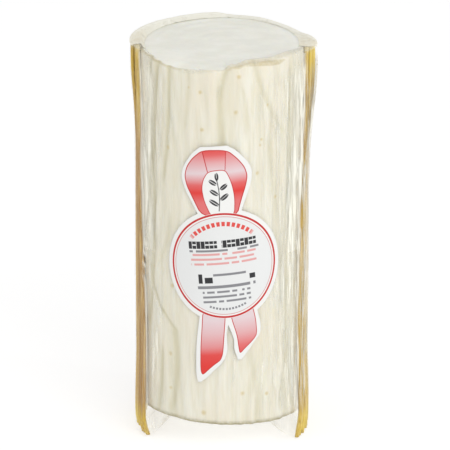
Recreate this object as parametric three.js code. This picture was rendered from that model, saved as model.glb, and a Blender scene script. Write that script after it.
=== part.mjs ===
// A log of soft goat cheese standing on end: the rinded log, the mat of straws that cradles its back and
// sides, the clear film drawn tight round both, and the rosette label stuck on the front of the film.
// Millimetres, +Z up, the label faces -Y, and the origin is on the table under the middle of the whole.
import * as THREE from "three";
import { mergeVertices } from "three/addons/utils/BufferGeometryUtils.js";

// The cheese
const CHEESE_RADIUS = 40.2;
const CHEESE_LENGTH = 186.7; // along the axis
const CHEESE_LIFT = 13.5; // the lower face stands this far above the table, on the straw ends
const TOP_SLANT = 2.4; // degrees: the top face dips towards the front
const BASE_SLANT = -1.5; // degrees: the lower face rises towards the front
const BASE_ROLL = -2.6; // degrees: the lower face is higher on the left
const RIM_ROUND = 2.2;
const RIND_DEPTH = 0.9; // of the hollows between the upright ridges of the rind
const SEAM_DEPTH = 0.9; // of the fold in the rind below the step in the top rim
const LIP_HEIGHT = 2.2; // the rim right of the fold stands this much proud
const SAG_HEIGHT = 1.7; // the rim on the left has sunk by this much
const FACE_RINGS = [0.35, 0.72]; // shares of the radius at which the end faces are divided

// The straw mat
const STRAW_COUNT = 60;
const STRAW_DIAMETER = 2.2;
const STRAW_SPREAD = 0.15; // share by which the straws differ in thickness
const MAT_EDGE_LOW = 66.5; // degrees from the front at which the mat ends, near the table
const MAT_EDGE_HIGH = 85; // and at the top
const MAT_CROWDING = 1.5; // every other straw is pushed out by up to this much near the top
const TIP_SPREAD = 2.6; // the straws end at heights that differ by up to this much
const TIP_TUCK = 2.4; // the film pulls the tip at the left edge in by this much
const LEAST_TUCK = 0.3; // and every tip by at least this share of it
const TIP_LEAN = 5; // degrees by which the tips at the right edge lean to the front
const JOINT_HEIGHTS = [7, 50, 95, 140, 193.6]; // between the first and the last the straws touch
const FOOT_STRAWS = 3; // long straws at each edge of the mat, which reach the film's foot
const TUCKED_STRAWS = 8; // over this many straws the tuck eases off from the left edge
const LEANING_STRAWS = 6; // at the right edge
const HEAD_DROP = 1.5; // the straws' upper ends lie this far below the top face
const HEAD_SPREAD = 0.5; // and differ by this much

// The film and the gaps that keep neighbours apart
const FILM_THICKNESS = 0.3;
const GAP = 0.27;
const FILM_FLAP = 2.6; // the film stands off the straws by this much more at the top right
const FLAP_ANGLE = 92; // degrees, where it stands off most
const FLAP_WIDTH = 16;
const SHOULDER = 0.93; // share of the cheese's radius up to which the film over the top follows the rim
const WALL_HEIGHTS = [186, 166, 145, 122, 95, 50, 20];
const COLUMNS = { front: 20, bridge: 3, mat: 34 }; // facets on the cheese, across to the mat and round it
const CORNER_REACH = 1.2; // degrees by which the film's corner lies past the middle of the edge straw
const FOOT_INNER = 37.4; // inner edge of the film's foot under the straw tips
const WEB_TOP = 31; // where the film that rises from that foot meets the base of the cheese
const GATHER_RADIUS = 11; // of the opening under the base, where the film's end is gathered

// The label, measured along its own surface from the centre of its disc
const LABEL_THICKNESS = 0.25;
const LABEL_HEIGHT = 98.9; // of the disc's centre above the table
const LABEL_ANGLE = 1.8; // degrees to the right of the front
const LABEL_LEAN = 5; // degrees, top to the left
const DISC_RADIUS = 29.5;
// Its outline with the plain border, as half-widths and edges at heights above the disc's centre: the
// loop of ribbon above the disc, and two ribbon ends that part below it.
const LOOP_HALF = [[61.6, 6.6], [59.6, 9.6], [55.5, 13.6], [50.5, 16.9], [46.3, 17.9], [41, 16.9], [27.4, 10.9]];
const SPLIT = [-31, -0.8]; // where the two ribbon ends part
const LEFT_OUTER = [[-25.6, -14.9], [-50.5, -18.7], [-60, -18.2]];
const LEFT_INNER = [SPLIT, [-34.4, -1.6], [-46.9, -3.1], [-50.5, -4.8], [-54.6, -10.9], [-60, -17]];
const RIGHT_INNER = [SPLIT, [-34.4, 0.3], [-38.7, 1.4], [-49.8, 1.9]];
const RIGHT_OUTER = [[-25.6, 14.1], [-35.1, 15.8], [-38, 15.1], [-42.4, 10], [-49.8, 3]];
const LABEL_ROWS = {
  round: [61.6, 59.6, 55.5, 50.5, 46.3, 41, 34, 27.4, 24, 20, 15, 8, 0, -8, -15, -20, -25.5],
  joined: [-28.5, SPLIT[0]],
  left: [-35, -41, -47, -50.5, -54.6, -60],
  right: [-35, -38, -42.4, -46, -49.8],
};

// The mat lies behind the log, so the middle of the whole is this far right of and behind its axis
const AXIS_RIGHT = 1.05;
const AXIS_BACK = 1.7;

// Sizes that follow from those
const TOP_HEIGHT = CHEESE_LIFT + CHEESE_LENGTH;
const STRAW_RADIUS = STRAW_DIAMETER / 2;
const RIND_PROUD = 0.1; // no ridge stands further out than this
const CHORD_SAG = 0.13; // by which a flat facet of the film cuts inside its corners
const MAT_INNER = CHEESE_RADIUS + RIND_PROUD + GAP;
const MAT_OUTER = MAT_INNER + STRAW_DIAMETER * (1 + STRAW_SPREAD / 2);
const FILM_ON_CHEESE = CHEESE_RADIUS + RIND_PROUD + GAP + CHORD_SAG;
const FILM_ON_MAT = MAT_OUTER + GAP + CHORD_SAG;
const FILM_CLEAR = GAP + CHORD_SAG; // above and below the cheese's end faces
const COLUMN_COUNT = COLUMNS.front + 2 * COLUMNS.bridge + COLUMNS.mat;
const LABEL_INNER = FILM_ON_CHEESE + FILM_THICKNESS + GAP + 2 * CHORD_SAG;

const radians = THREE.MathUtils.degToRad;
const degrees = THREE.MathUtils.radToDeg;
const mix = THREE.MathUtils.lerp;
const step = THREE.MathUtils.smoothstep;

// A hump of height 1 at the middle that fades out over the width.
function hump(x, middle, width) {
  const away = (x - middle) / width;
  return Math.exp(-away * away);
}

// Repeatable draws from -1 to 1, one for each straw and each use.
function draw(index, use) {
  const wave = Math.sin(index * 127.1 + use * 311.7) * 43758.5453;
  return 2 * (wave - Math.floor(wave)) - 1;
}

// Reads a value off a line through [place, value] points, whose places rise or fall steadily.
function track(points, x) {
  const spans = points.slice(1).map((end, i) => [points[i], end]);
  const span = spans.find(([a, b]) => (x - a[0]) * (x - b[0]) <= 0);
  const [[x0, y0], [x1, y1]] = span;
  return mix(y0, y1, (x - x0) / (x1 - x0));
}

function evenly(count, from, to) {
  return Array.from({ length: count + 1 }, (_, i) => mix(from, to, i / count));
}

// A point on the round: the angle is 0 at the front and grows to the right.
function place(angle, radius, height) {
  const a = radians(angle);
  return new THREE.Vector3(radius * Math.sin(a), -radius * Math.cos(a), height);
}

function centreOf(ring) {
  return ring.reduce((sum, p) => sum.add(p), new THREE.Vector3()).divideScalar(ring.length);
}

// Collects faces, counter-clockwise seen from outside, and closes them into one mesh.
class Skin {
  constructor() {
    this.corners = [];
  }

  triangle(...points) {
    for (const p of points) this.corners.push(p.x, p.y, p.z);
  }

  quad(a, b, c, d) {
    this.triangle(a, b, c);
    this.triangle(a, c, d);
  }

  // Joins two rings of equally many points, both counter-clockwise seen from the second one's side.
  band(from, to) {
    from.forEach((p, i) => {
      const next = (i + 1) % from.length;
      this.quad(p, from[next], to[next], to[i]);
    });
  }

  // Closes the last ring of a loft with triangles to one point.
  closeEnd(ring, point) {
    ring.forEach((p, i) => this.triangle(p, ring[(i + 1) % ring.length], point));
  }

  // Closes the first ring of a loft.
  closeStart(ring, point) {
    ring.forEach((p, i) => this.triangle(ring[(i + 1) % ring.length], p, point));
  }

  // A closed body through rings, with a point at each end.
  loft(start, rings, end) {
    this.closeStart(rings[0], start);
    rings.slice(1).forEach((ring, i) => this.band(rings[i], ring));
    this.closeEnd(rings[rings.length - 1], end);
  }

  mesh(name, material) {
    const position = new THREE.Float32BufferAttribute(this.corners, 3);
    const loose = new THREE.BufferGeometry().setAttribute("position", position);
    const geometry = mergeVertices(loose, 1e-4);
    geometry.computeVertexNormals();
    const made = new THREE.Mesh(geometry, material);
    made.name = name;
    return made;
  }
}

// The rind: upright ridges and hollows, calmer under the label, and the fold at the front.
function rindRadius(angle, height) {
  const a = radians(angle);
  const rise = height / TOP_HEIGHT;
  const ridges =
    0.4 * Math.cos(7 * a + 0.9 + 1.3 * rise) +
    0.35 * Math.cos(11 * a - 1.7 - 2.1 * rise) +
    0.25 * Math.cos(16 * a + 0.4 + 1.7 * rise);
  const calm = 1 - 0.75 * hump(angle, LABEL_ANGLE, 42) * hump(height, LABEL_HEIGHT, 50);
  const hollow = (RIND_DEPTH / 2) * (1 - ridges) * calm;
  const seamAngle = mix(-2, 4, step(rise, 0.72, 1));
  const seam = SEAM_DEPTH * hump(angle, seamAngle, 4) * step(rise, 0.7, 0.85);
  return CHEESE_RADIUS + RIND_PROUD - hollow - seam;
}

// How far the top rim stands above its plane: a lip right of the fold, and a sunken stretch on the left.
function rimRise(angle) {
  const lip = LIP_HEIGHT * step(angle, 1, 7) * (1 - step(angle, 26, 56));
  return lip - SAG_HEIGHT * hump(angle, -47, 26);
}

function topHeight(angle, radius, rise = rimRise(angle)) {
  const edge = Math.pow(Math.min(radius / CHEESE_RADIUS, 1), 8);
  const forward = radius * Math.cos(radians(angle));
  return TOP_HEIGHT - forward * Math.tan(radians(TOP_SLANT)) + rise * edge;
}

function baseHeight(angle, radius) {
  const forward = radius * Math.cos(radians(angle));
  const right = radius * Math.sin(radians(angle));
  const slant = -forward * Math.tan(radians(BASE_SLANT));
  return CHEESE_LIFT + slant + right * Math.tan(radians(BASE_ROLL));
}

function cheeseLog(material) {
  const angles = evenly(60, -180, 180).slice(1);
  const faceRadii = FACE_RINGS.map((share) => share * CHEESE_RADIUS);
  const rimTurns = [0, 30, 60]; // degrees round the rounding of a rim, from the end face
  const wallShares = evenly(12, 0, 1);
  const low = (angle) => baseHeight(angle, CHEESE_RADIUS);
  const high = (angle) => topHeight(angle, CHEESE_RADIUS);
  const ring = (point) => angles.map(point);

  const rounding = (edge, turn, side) => (angle) => {
    const inset = RIM_ROUND * (1 - Math.sin(radians(turn)));
    const away = RIM_ROUND * (1 - Math.cos(radians(turn)));
    return place(angle, rindRadius(angle, edge(angle)) - inset, edge(angle) + side * away);
  };
  const wall = (share) => (angle) => {
    const height = mix(low(angle) + RIM_ROUND, high(angle) - RIM_ROUND, share);
    return place(angle, rindRadius(angle, height), height);
  };

  const rings = [
    ...faceRadii.map((radius) => ring((angle) => place(angle, radius, baseHeight(angle, radius)))),
    ...rimTurns.map((turn) => ring(rounding(low, turn, 1))),
    ...wallShares.map((share) => ring(wall(share))),
    ...rimTurns.toReversed().map((turn) => ring(rounding(high, turn, -1))),
    ...faceRadii.toReversed().map((radius) => ring((angle) => place(angle, radius, topHeight(angle, radius)))),
  ];
  const skin = new Skin();
  skin.loft(place(0, 0, CHEESE_LIFT), rings, place(0, 0, TOP_HEIGHT));
  return skin.mesh("cheese_log", material);
}

// The mat wraps further round the front near the table than at the top, alike on both sides.
function matEdge(height) {
  return mix(MAT_EDGE_LOW, MAT_EDGE_HIGH, step(height, 0.35 * TOP_HEIGHT, 0.82 * TOP_HEIGHT));
}

// Near the top the straws crowd, so every other one is pushed outwards.
function crowding(height) {
  return MAT_CROWDING * step(height, 0.7 * TOP_HEIGHT, 0.97 * TOP_HEIGHT);
}

function lean(height) {
  return TIP_LEAN * (1 - step(height, 0, CHEESE_LIFT));
}

// The middle of a straw at a height: its angle round the log, its distance from the axis and its radius.
// Straw 0 is at the right edge, and the last one is at the left edge.
function strawAt(index, height) {
  const edge = matEdge(height);
  const pitch = (360 - 2 * edge) / (STRAW_COUNT - 1);
  const sway = 0.15 * Math.sin(height / 23 + Math.PI * draw(index, 5));
  const forward = lean(height) * Math.max(0, 1 - index / LEANING_STRAWS);
  const radius = STRAW_RADIUS * (1 + (STRAW_SPREAD / 2) * draw(index, 1));
  const pushed = index % 2 ? crowding(height) * (0.75 + 0.25 * draw(index, 2)) : 0;
  const angle = edge + (index + sway) * pitch - forward;
  return { angle, pitch, radius, middle: MAT_INNER + radius + pushed };
}

// One straw's section where it lies against its neighbours: its two flanks are shared with them.
function joinedSection(index, height) {
  const own = strawAt(index, height);
  const flank = (side) => {
    const alone = index + side < 0 || index + side >= STRAW_COUNT;
    const beside = alone ? own : strawAt(index + side, height);
    const angle = alone ? own.angle + side * 0.46 * own.pitch : (own.angle + beside.angle) / 2;
    const middle = (own.middle + beside.middle) / 2;
    return [1, -1].map((out) => place(angle, middle + out * 0.5 * STRAW_RADIUS, height));
  };
  const crown = (side, out) => {
    return place(own.angle + side * 0.24 * own.pitch, own.middle + out * own.radius, height);
  };
  const [rightOut, rightIn] = flank(-1);
  const [leftOut, leftIn] = flank(1);
  return [rightOut, crown(-1, 1), crown(1, 1), leftOut, leftIn, crown(1, -1), crown(-1, -1), rightIn];
}

// One straw's section where it stands free: eight sides, in the same order.
function freeSection(index, height, tuck) {
  const own = strawAt(index, height);
  const radius = Math.min(own.radius, 0.47 * radians(own.pitch) * own.middle);
  return [157.5, 112.5, 67.5, 22.5, -22.5, -67.5, -112.5, -157.5].map((turn) => {
    const along = radius * Math.cos(radians(turn));
    const out = radius * Math.sin(radians(turn));
    return place(own.angle + degrees(along / own.middle), own.middle - tuck + out, height);
  });
}

function strawMat(material) {
  const skin = new Skin();
  const tipClear = 2 * FILM_THICKNESS; // the film passes under the longest straws
  for (let i = 0; i < STRAW_COUNT; i++) {
    const sections = JOINT_HEIGHTS.map((height) => joinedSection(i, height));
    const sharedSides = [i < STRAW_COUNT - 1 ? 3 : -1, i > 0 ? 7 : -1];
    sections.slice(1).forEach((upper, k) => {
      const lower = sections[k];
      lower.forEach((p, side) => {
        const next = (side + 1) % lower.length;
        if (!sharedSides.includes(side)) skin.quad(p, lower[next], upper[next], upper[side]);
      });
    });

    const fromEdge = Math.min(i, STRAW_COUNT - 1 - i);
    const short = fromEdge < FOOT_STRAWS ? 0 : (TIP_SPREAD / 2) * (1 + draw(i, 3));
    const tuck = TIP_TUCK * Math.max(LEAST_TUCK, 1 - (STRAW_COUNT - 1 - i) / TUCKED_STRAWS);
    const foot = freeSection(i, tipClear + short, tuck);
    skin.closeStart(foot, centreOf(foot));
    skin.band(foot, sections[0]);

    const { angle } = strawAt(i, TOP_HEIGHT);
    const drop = HEAD_DROP + HEAD_SPREAD * draw(i, 4);
    const head = freeSection(i, topHeight(angle, CHEESE_RADIUS, 0) - drop, 0);
    skin.band(sections[sections.length - 1], head);
    skin.closeEnd(head, centreOf(head));
  }
  return skin.mesh("straw_mat", material);
}

// The film runs straight from the mat's edge straw to where it touches the cheese.
function filmOnMat(angle, height) {
  const rise = height / TOP_HEIGHT;
  const flap = FILM_FLAP * hump(angle, FLAP_ANGLE, FLAP_WIDTH) * hump(rise, 0.88, 0.13);
  return FILM_ON_MAT + crowding(height) + flap;
}

// The angle and inner radius of the film at a height, for a column counted from the front to the right
// and round: stretches on the cheese, across to the mat, round the mat, and back to the cheese.
function filmAt(column, height) {
  const right = matEdge(height) - CORNER_REACH - lean(height);
  const left = 360 - matEdge(height) + CORNER_REACH;
  const reach = (corner) => degrees(Math.acos(FILM_ON_CHEESE / filmOnMat(corner, height)));
  const touchRight = right - reach(right);
  const touchLeft = left + reach(left);
  const matStart = COLUMNS.front / 2 + COLUMNS.bridge;
  const matEnd = matStart + COLUMNS.mat;
  const angle = track(
    [
      [0, 0],
      [matStart - COLUMNS.bridge, touchRight],
      [matStart, right],
      [matEnd, left],
      [matEnd + COLUMNS.bridge, touchLeft],
      [COLUMN_COUNT, 360],
    ],
    column,
  );
  const onMat = angle >= right && angle <= left;
  const touch = angle < 180 ? touchRight : touchLeft;
  const onBridge = !onMat && angle > touchRight && angle < touchLeft;
  let radius = FILM_ON_CHEESE;
  if (onMat) radius = filmOnMat(angle, height);
  if (onBridge) radius = FILM_ON_CHEESE / Math.cos(radians(angle - touch));
  const span = angle < 180 ? right - touchRight : touchLeft - left;
  const share = onMat ? 1 : onBridge ? Math.abs(angle - touch) / span : 0; // 0 on the cheese, 1 on the mat
  return { angle, radius, share };
}

// One column of the film from the middle of the top, down the wall and under the base to the gathered
// end. Each entry is a point of the inner face and the step from it to the outer face.
function filmColumn(column) {
  const entries = [];
  const add = (angle, radius, height, out, up) => {
    const inner = place(angle, radius, height);
    const outer = place(angle, radius + out * FILM_THICKNESS, height + up * FILM_THICKNESS);
    entries.push([inner, outer]);
  };

  const top = filmAt(column, TOP_HEIGHT);
  const signed = top.angle > 180 ? top.angle - 360 : top.angle;
  const rise = Math.max(...[-6, 0, 6].map((aside) => rimRise(signed + aside)));
  const roof = (radius) => topHeight(top.angle, radius, rise) + FILM_CLEAR;
  for (const radius of FACE_RINGS.map((part) => part * CHEESE_RADIUS)) {
    add(top.angle, radius, roof(radius), 0, 1);
  }
  add(top.angle, SHOULDER * CHEESE_RADIUS, roof(CHEESE_RADIUS), 0, 1);
  add(top.angle, top.radius - mix(1.5, 0.6, top.share), roof(CHEESE_RADIUS), 0.4, 1);
  add(top.angle, top.radius, roof(CHEESE_RADIUS) - FILM_CLEAR - mix(1.8, 0.8, top.share), 1, 0.2);

  for (const height of WALL_HEIGHTS) {
    const wall = filmAt(column, height);
    add(wall.angle, wall.radius, height, 1, 0);
  }

  const foot = filmAt(column, 0);
  const under = (radius) => baseHeight(foot.angle, radius) - FILM_CLEAR;
  const down = (height, low) => mix(height, FILM_THICKNESS + low, foot.share);
  const inner = 0.88 * CHEESE_RADIUS;
  add(foot.angle, foot.radius, down(under(CHEESE_RADIUS) + 2, 1.3), 1, -0.2);
  add(foot.angle, foot.radius - mix(1.6, 0.8, foot.share), down(under(CHEESE_RADIUS), 0), 0.4, -1);
  add(foot.angle, mix(inner, FOOT_INNER, foot.share), down(under(inner), 0), -0.6 * foot.share, -1);
  add(foot.angle, WEB_TOP, under(WEB_TOP), -0.6 * foot.share, -1);
  add(foot.angle, GATHER_RADIUS, under(GATHER_RADIUS), 0, -1);
  return entries;
}

function filmWrap(material) {
  const columns = Array.from({ length: COLUMN_COUNT }, (_, i) => filmColumn(i));
  const ringOf = (entry, face) => columns.map((column) => column[entry][face]);
  const entries = columns[0].map((_, i) => i);
  const rings = [...entries.map((i) => ringOf(i, 0)), ...entries.toReversed().map((i) => ringOf(i, 1))];
  const peak = TOP_HEIGHT + FILM_CLEAR;
  const skin = new Skin();
  skin.loft(place(0, 0, peak), rings, place(0, 0, peak + FILM_THICKNESS));
  return skin.mesh("film_wrap", material);
}

function rosetteLabel(material) {
  const half = 4; // columns on each side of the middle
  const a = radians(LABEL_LEAN);

  // A row of points, each as its place on the back and on the front of the label.
  const row = (height, edges) => {
    const places = [];
    edges.slice(1).forEach((end, i) => places.push(...evenly(half, edges[i], end).slice(i ? 1 : 0)));
    return places.map((across) => {
      const along = across * Math.cos(a) - height * Math.sin(a);
      const up = LABEL_HEIGHT + across * Math.sin(a) + height * Math.cos(a);
      const angle = LABEL_ANGLE + degrees(along / LABEL_INNER);
      return [place(angle, LABEL_INNER, up), place(angle, LABEL_INNER + LABEL_THICKNESS, up)];
    });
  };
  const body = LABEL_ROWS.round.map((height) => {
    const disc = Math.sqrt(Math.max(DISC_RADIUS ** 2 - height ** 2, 0));
    const width = height < 27 ? disc : track(LOOP_HALF, height);
    return row(height, [-width, 0, width]);
  });
  body.push(
    ...LABEL_ROWS.joined.map((height) => {
      return row(height, [track(LEFT_OUTER, height), SPLIT[1], track(RIGHT_OUTER, height)]);
    }),
  );
  const parting = body[body.length - 1];
  const end = (heights, from, outer, inner) => [
    from,
    ...heights.map((height) => row(height, [track(outer, height), track(inner, height)])),
  ];
  const left = end(LABEL_ROWS.left, parting.slice(0, half + 1), LEFT_OUTER, LEFT_INNER);
  const right = end(LABEL_ROWS.right, parting.slice(half), RIGHT_INNER, RIGHT_OUTER);

  const skin = new Skin();
  for (const rows of [body, left, right]) {
    rows.slice(1).forEach((lower, k) => {
      const upper = rows[k];
      for (let i = 1; i < lower.length; i++) {
        const corners = [lower[i - 1], lower[i], upper[i], upper[i - 1]];
        skin.quad(...corners.map(([, front]) => front));
        skin.quad(...corners.toReversed().map(([back]) => back));
      }
    });
  }
  const firsts = (rows) => rows.map((points) => points[0]);
  const lasts = (rows) => rows.map((points) => points[points.length - 1]);
  const rim = [
    ...body[0].toReversed(),
    ...firsts(body).slice(1),
    ...firsts(left).slice(1),
    ...left[left.length - 1].slice(1),
    ...lasts(left).toReversed().slice(1),
    ...firsts(right).slice(1),
    ...right[right.length - 1].slice(1),
    ...lasts(right).toReversed().slice(1),
    ...lasts(body).toReversed().slice(1, -1),
  ];
  rim.forEach(([back, front], i) => {
    const [nextBack, nextFront] = rim[(i + 1) % rim.length];
    skin.quad(front, back, nextBack, nextFront);
  });
  return skin.mesh("label", material);
}

const rind = new THREE.MeshStandardMaterial({ color: 0xeeebdc, roughness: 0.65 });
const straw = new THREE.MeshStandardMaterial({ color: 0xcfae62, roughness: 0.55 });
const film = new THREE.MeshStandardMaterial({ color: 0xf4f6f6, roughness: 0.12, transparent: true, opacity: 0.22 });
const paper = new THREE.MeshStandardMaterial({ color: 0xe9eaee, roughness: 0.5 });

const goatCheese = new THREE.Group();
goatCheese.add(cheeseLog(rind), strawMat(straw), filmWrap(film), rosetteLabel(paper));
goatCheese.position.set(-AXIS_RIGHT, -AXIS_BACK, 0);
export default goatCheese;
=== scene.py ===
"""A log of soft goat cheese standing on end, cradled in straws, wrapped in clear film, with a rosette label.

Lengths are worked out in millimetres about the log's own axis: the angle is 0 at the front and grows to the
right, and the height is above the table. They are turned into metres in the part's frame as a mesh is made.
"""
import bmesh
import bpy
import numpy as np
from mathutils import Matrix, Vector


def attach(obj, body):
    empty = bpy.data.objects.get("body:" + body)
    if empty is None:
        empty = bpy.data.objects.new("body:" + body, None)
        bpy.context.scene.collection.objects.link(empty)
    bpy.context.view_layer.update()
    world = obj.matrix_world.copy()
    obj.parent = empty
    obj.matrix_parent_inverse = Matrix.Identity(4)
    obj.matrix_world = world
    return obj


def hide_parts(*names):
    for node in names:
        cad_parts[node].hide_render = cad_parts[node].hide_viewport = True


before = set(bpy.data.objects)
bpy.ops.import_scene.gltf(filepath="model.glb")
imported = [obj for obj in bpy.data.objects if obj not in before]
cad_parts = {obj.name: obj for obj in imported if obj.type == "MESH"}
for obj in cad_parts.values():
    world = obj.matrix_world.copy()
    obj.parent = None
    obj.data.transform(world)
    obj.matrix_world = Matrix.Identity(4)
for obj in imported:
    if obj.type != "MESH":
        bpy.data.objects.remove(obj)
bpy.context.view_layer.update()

# The cheese: a log of soft goat's milk curd, ladled into a tall mould and ripened standing, so that it has
# grown a thin white rind with upright ridges. Its flat end faces are paler and smoother than the wall, tan
# mould shows along the upper rim and in scattered specks, and a thin dark olive line runs along the lower
# rim.
CHEESE_RADIUS = 40.2
CHEESE_LIFT = 13.5
TOP_HEIGHT = 200.2
TOP_SLANT = np.radians(2.4)
BASE_SLANT = np.radians(-1.5)
BASE_ROLL = np.radians(-2.6)
RIM_ROUND = 1.4
RIND_PROUD = 0.1
RIND_DEPTH = 0.9
RIPPLE_DEPTH = 0.16
GRAIN_DEPTH = 0.02
SEAM_DEPTH = 0.45
SEAM_WIDTH = 2.2
SEAM_ANGLES = (-2, 4)
LIP_HEIGHT = 4.0
LIP_RADIUS = 37.0
SAG_HEIGHT = 1.85
SAG_ANGLE = -36
RIM_INSET = 0.35
RIGHT_EDGE = (67.5, 71, 86)
LEFT_EDGE = (67, 76, 81)
LABEL_ANGLE = 1.8
LABEL_HEIGHT = 98.9
AXIS = np.array([-1.05, -1.7, 0.0])
MM = 0.001


def hump(x, middle, width):
    """Bell of height 1 at the middle: e to the power minus the square of the distance over the width."""
    return np.exp(-(((x - middle) / width) ** 2))


def ease(x, low, high):
    """Smooth step from 0 at low to 1 at high: 3 t squared minus 2 t cubed, with t held between 0 and 1."""
    t = np.clip((x - low) / (high - low), 0, 1)
    return t * t * (3 - 2 * t)


def mix(a, b, t):
    """Straight blend from a at t = 0 to b at t = 1."""
    return a + (b - a) * t


def straight_through(table, x):
    """At x, the straight line from each of a table's points to the next."""
    return np.interp(x, *np.array(table).T)


def place(angle, radius, height):
    """Points on the round: x is the radius times the angle's sine, y minus the radius times its cosine."""
    a = np.radians(angle)
    x, y, z = np.broadcast_arrays(radius * np.sin(a), -radius * np.cos(a), height)
    return np.stack([x, y, z], -1) + AXIS


def ripples(angle, height, seed, waves, turns, rise, wander=0.0):
    """Upright ripples of height about 1: a sum of cosines of n times the angle plus m times the height, with
    n drawn between the two turns and m up to the rise for each 100 mm, and the angle bent by slow waves."""
    rng = np.random.default_rng(seed)
    bend = wander * np.sin(height / 21 + np.radians(angle) * 2) + wander * np.sin(height / 37 + 1.3)
    a = np.radians(angle + bend)
    total = np.zeros(np.broadcast(angle, height).shape)
    for _ in range(waves):
        n = rng.integers(turns[0], turns[1] + 1)
        m = rng.uniform(-rise, rise) / 100
        total = total + np.cos(n * a + m * height + rng.uniform(0, 2 * np.pi))
    return total / np.sqrt(waves / 2)


def right_edge(height):
    """The angle from the front at which the mat ends on the right: it rises in two smooth steps from the
    table to the middle of the log and on to the top, so the mat wraps further forward near the table."""
    foot_angle, waist_angle, top_angle = RIGHT_EDGE
    lower = mix(foot_angle, waist_angle, ease(height, 60, 130))
    return lower + (top_angle - waist_angle) * ease(height, 120, 190)


def left_edge(height):
    """The same on the left, counted to the left."""
    foot_angle, waist_angle, top_angle = LEFT_EDGE
    lower = mix(foot_angle, waist_angle, ease(height, 50, 150))
    return lower + (top_angle - waist_angle) * ease(height, 170, 200)


def crease(angle, height, start, end, bow, width):
    """A soft line on the round between two places of angle and height: a bell across it, a width in mm
    wide, whose middle is straight plus a parabola's bow in degrees, and which fades out at both ends."""
    low, high = min(start[1], end[1]), max(start[1], end[1])
    t = np.clip((height - start[1]) / (end[1] - start[1]), 0, 1)
    off = (angle - mix(start[0], end[0], t) - 4 * bow * t * (1 - t)) * np.radians(CHEESE_RADIUS)
    return hump(off, 0, width) * ease(height, low - 5, low + 3) * (1 - ease(height, high - 3, high + 5))


# Folds in the rind: start, end, bow, width and depth.
FOLDS = [
    ((5, 204), (-1, 187), 0, 1.3, 0.5), ((-1, 187), (1, 160), -1, 1.5, 0.45),
    ((23, 204), (48, 164), -4, 1.6, 0.3), ((-63, 204), (-65, 120), 2, 1.6, 0.7),
    ((-51, 204), (-55, 128), -3, 1.3, 0.65), ((-41, 200), (-46, 140), 2, 1.1, 0.55),
    ((-57, 150), (-63, 62), 3, 1.5, 0.65), ((-40, 120), (-50, 96), 2, 1.2, 0.25),
    ((-36, 62), (-39, 20), 3, 1.8, 0.55), ((-62, 92), (-35, 62), -5, 1.1, 0.5),
    ((-48, 50), (-52, 18), 1, 1.4, 0.55), ((-24, 200), (-27, 168), 1, 1.2, 0.25),
    ((36, 160), (40, 90), 3, 1.6, 0.25), ((58, 196), (62, 110), -3, 1.5, 0.3),
    ((52, 90), (47, 22), 3, 1.6, 0.3), ((14, 190), (17, 165), 2, 1.2, 0.2),
    ((-12, 188), (-10, 168), 1, 1.2, 0.2), ((20, 52), (26, 18), 2, 1.5, 0.25),
]


def creases(table, angle, height):
    """All the creases of a table added up, each times the last of its values."""
    return sum(deep * crease(angle, height, *line) for *line, deep in table)


# The lip rises in two steps: share of its height, and the angles where each starts and ends.
LIP_STEPS = [(0.55, 2, 5), (0.45, 11, 19)]


def rim_rise(angle):
    """The lip to the right of the fold, which ends at the side, less the sunken stretch on the left."""
    lip = LIP_HEIGHT * sum(share * ease(angle, start, end) for share, start, end in LIP_STEPS)
    lip = lip * (1 - 0.22 * ease(angle, 22, 38)) * (1 - ease(angle, 54, 84))
    return lip - SAG_HEIGHT * hump(angle, SAG_ANGLE, 20)


def top_height(angle, radius, rise):
    """The upper face: a plane that dips to the front, plus the rim's rise times the eighth power of the
    radius up to the crest of the lip, and times 1 less a parabola from there to the rim."""
    forward = radius * np.cos(np.radians(angle))
    outside = (np.minimum(radius, CHEESE_RADIUS) - LIP_RADIUS) / (CHEESE_RADIUS - LIP_RADIUS)
    share = np.where(outside < 0, np.minimum(radius / LIP_RADIUS, 1) ** 8, 1 - 0.3 * outside**2)
    return TOP_HEIGHT - forward * np.tan(TOP_SLANT) + rise * share


def base_height(angle, radius):
    """The lower face: a plane that rises to the front and falls to the right."""
    a = np.radians(angle)
    return CHEESE_LIFT + radius * (np.cos(a) * np.tan(-BASE_SLANT) + np.sin(a) * np.tan(BASE_ROLL))


# Three sets of ridges: share of the depth, how many go round, phase at the foot and turn up to the top.
RIDGES = [(0.4, 7, 0.9, 1.3), (0.35, 11, -1.7, -2.1), (0.25, 16, 0.4, 1.7)]


def rind_radius(angle, height):
    """The log's radius less the hollows between the ridges, less finer ripples and the folds, all calm under
    the label and the mat, and less the long fold at the front."""
    a = np.radians(angle)
    up = height / TOP_HEIGHT
    ridges = sum(share * np.cos(count * a + phase + turn * up) for share, count, phase, turn in RIDGES)
    calm = 1 - 0.75 * hump(angle, LABEL_ANGLE, 42) * hump(height, LABEL_HEIGHT, 50)
    edge = np.where(angle > 0, right_edge(height), left_edge(height))
    calm = calm * (1 - 0.9 * ease(np.abs(angle), edge - 14, edge))
    seam_angle = mix(*SEAM_ANGLES, ease(up, 0.72, 1))
    seam = SEAM_DEPTH * hump(angle, seam_angle, SEAM_WIDTH) * ease(up, 0.7, 0.85)
    fine = ripples(angle, height, 11, 14, (18, 46), 9, 5.0)
    finer = ripples(angle, height, 12, 16, (50, 110), 26, 4.0)
    hollows = RIND_DEPTH / 2 * (1 - ridges) + RIPPLE_DEPTH * (1 + fine) + GRAIN_DEPTH * (1 + finer)
    hollows = np.maximum(hollows, 0) + creases(FOLDS, angle, height)
    return CHEESE_RADIUS + RIND_PROUD - hollows * calm - seam


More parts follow.
